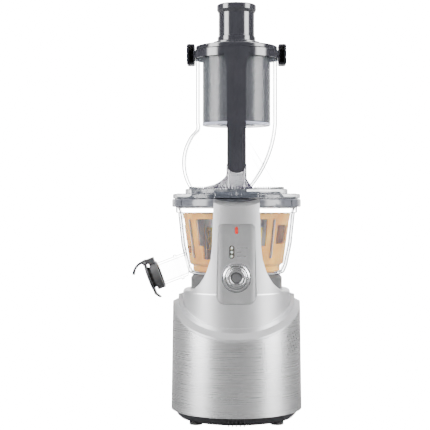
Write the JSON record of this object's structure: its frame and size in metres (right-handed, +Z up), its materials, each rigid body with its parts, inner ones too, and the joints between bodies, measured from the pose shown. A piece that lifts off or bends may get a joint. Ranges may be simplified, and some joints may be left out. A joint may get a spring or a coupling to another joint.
{
  "type": "slow juicer",
  "caption": "Vertical slow juicer: round metal motor base with a front column, clear juicing bowl with spout and auger, and a tall clear hopper with nested pushers.",
  "frame": {"origin": "on the resting surface, on the axis of the round motor base", "axes": "+Z up, -Y towards the control column at the front, +X to the right of someone facing the front"},
  "size_m": [0.1814, 0.1536, 0.443],
  "materials": {
    "brushed_shell": "brushed",
    "silver_paint": "satin silver",
    "panel_silver": "satin silver",
    "black_plastic": "matt",
    "black_rubber": "matt",
    "dark_plastic": "fine texture",
    "steel": "machined",
    "bright_ring": "turned",
    "button_grey": "satin",
    "window_black": "gloss",
    "light_lens": "frosted",
    "red_plastic": "gloss",
    "circuit_board": "satin",
    "lamination": "stacked sheet",
    "copper": "enamelled wire",
    "cast_metal": "cast",
    "grey_plastic": "satin",
    "nylon": "satin",
    "clear_plastic": "clear",
    "smoky_plastic": "tinted clear",
    "tinted_plastic": "lightly tinted clear",
    "dark_gloss": "gloss",
    "charcoal": "satin",
    "silicone": "soft",
    "mesh_steel": "perforated",
    "amber_plastic": "tinted clear",
    "yellow_plastic": "satin"
  },
  "bodies": {
    "base": {"body_wrap": "brushed_shell", "shoulder_ring": "silver_paint", "upper_housing": "silver_paint", "base_pan": "black_plastic", "rubber_feet": "black_rubber", "case_screws": "steel", "cable_gland": "black_rubber", "bowl_seat": "dark_plastic", "shaft_seal": "silicone", "control_panel": "panel_silver", "control_bezel": "bright_ring", "rocker_pin": "steel", "light_window": "window_black", "light_lenses": "light_lens", "align_marker": "red_plastic", "control_board": "circuit_board", "motor_stator": "lamination", "motor_windings": "copper", "motor_bells": "cast_metal", "run_capacitor": "grey_plastic", "middle_axle": "steel", "gearbox_housing": "charcoal", "gearbox_cover": "charcoal", "shaft_bearings": "steel"},
    "rotor": {"rotor_core": "lamination", "motor_shaft": "steel", "cooling_fan": "black_plastic"},
    "middle_gear": {"middle_gear": "nylon"},
    "output": {"output_gear": "nylon", "drive_shaft": "steel"},
    "rocker": {"control_rocker": "button_grey"},
    "bowl": {"juicing_bowl": "clear_plastic", "juice_spout": "clear_plastic", "spout_collar": "charcoal", "cap_pin": "steel", "pulp_duct": "smoky_plastic", "bowl_seal": "silicone", "idler_pins": "steel", "strainer_frame": "grey_plastic", "strainer_mesh": "mesh_steel"},
    "juice_cap": {"juice_cap": "charcoal", "cap_seal": "silicone"},
    "auger": {"auger": "yellow_plastic", "drive_insert": "steel"},
    "wiper": {"wiper_cage": "amber_plastic", "wiper_blades": "silicone"},
    "right_idler": {"right_idler": "nylon"},
    "left_idler": {"left_idler": "nylon"},
    "hopper": {"hopper_base": "tinted_plastic", "auger_bush": "nylon", "lid_seal": "silicone", "lock_tab": "smoky_plastic", "hopper_body": "clear_plastic", "hopper_gusset": "clear_plastic", "hopper_collar": "dark_gloss", "front_bar": "dark_gloss", "bar_foot": "smoky_plastic"},
    "large_pusher": {"large_pusher": "smoky_plastic", "pusher_cap": "dark_gloss"},
    "small_pusher": {"small_pusher": "charcoal"}
  },
  "joints": [
    {"name": "rotor_spin", "type": "hinge", "parent": "base", "child": "rotor", "pos_m": [-0.00392, 0.00349, 0.05], "axis": [0, 0, 1], "continuous": true},
    {"name": "middle_spin", "type": "hinge", "parent": "base", "child": "middle_gear", "pos_m": [-0.02598, 0.022, 0.095], "axis": [0, 0, 1], "continuous": true},
    {"name": "output_spin", "type": "hinge", "parent": "base", "child": "output", "pos_m": [0, 0.007, 0.11], "axis": [0, 0, 1], "continuous": true},
    {"name": "rocker_tilt", "type": "hinge", "parent": "base", "child": "rocker", "pos_m": [0, -0.05698, 0.15429], "axis": [1, 0, 0], "range_deg": [-3, 3], "stiffness_Nm_per_rad": 0.1},
    {"name": "bowl_lift", "type": "slide", "parent": "base", "child": "bowl", "axis": [0, 0, 1], "range_m": [0, 0.092]},
    {"name": "cap_hinge", "type": "hinge", "parent": "bowl", "child": "juice_cap", "pos_m": [-0.09836, 0.007, 0.16575], "axis": [0, 1, 0], "range_deg": [0, 100]},
    {"name": "auger_spin", "type": "hinge", "parent": "bowl", "child": "auger", "pos_m": [0, 0.007, 0.19], "axis": [0, 0, 1], "continuous": true},
    {"name": "wiper_spin", "type": "hinge", "parent": "bowl", "child": "wiper", "pos_m": [0, 0.007, 0.19], "axis": [0, 0, 1], "continuous": true},
    {"name": "right_idler_spin", "type": "hinge", "parent": "bowl", "child": "right_idler", "pos_m": [0.0255, 0.007, 0.16], "axis": [0, 0, 1], "continuous": true},
    {"name": "left_idler_spin", "type": "hinge", "parent": "bowl", "child": "left_idler", "pos_m": [-0.0255, 0.007, 0.16], "axis": [0, 0, 1], "continuous": true},
    {"name": "hopper_turn", "type": "hinge", "parent": "bowl", "child": "hopper", "pos_m": [0, 0.007, 0.237], "axis": [0, 0, 1], "range_deg": [0, 25]},
    {"name": "large_pusher_lift", "type": "slide", "parent": "hopper", "child": "large_pusher", "axis": [0, 0, 1], "range_m": [0, 0.095]},
    {"name": "small_pusher_lift", "type": "slide", "parent": "large_pusher", "child": "small_pusher", "axis": [0, 0, 1], "range_m": [0, 0.095]}
  ],
  "couplings": [
    {"joint": "middle_spin", "follows": "rotor_spin", "ratio": -0.2},
    {"joint": "output_spin", "follows": "rotor_spin", "ratio": 0.05},
    {"joint": "auger_spin", "follows": "rotor_spin", "ratio": 0.05},
    {"joint": "right_idler_spin", "follows": "rotor_spin", "ratio": -0.05625},
    {"joint": "left_idler_spin", "follows": "rotor_spin", "ratio": -0.05625},
    {"joint": "wiper_spin", "follows": "rotor_spin", "ratio": -0.018}
  ]
}
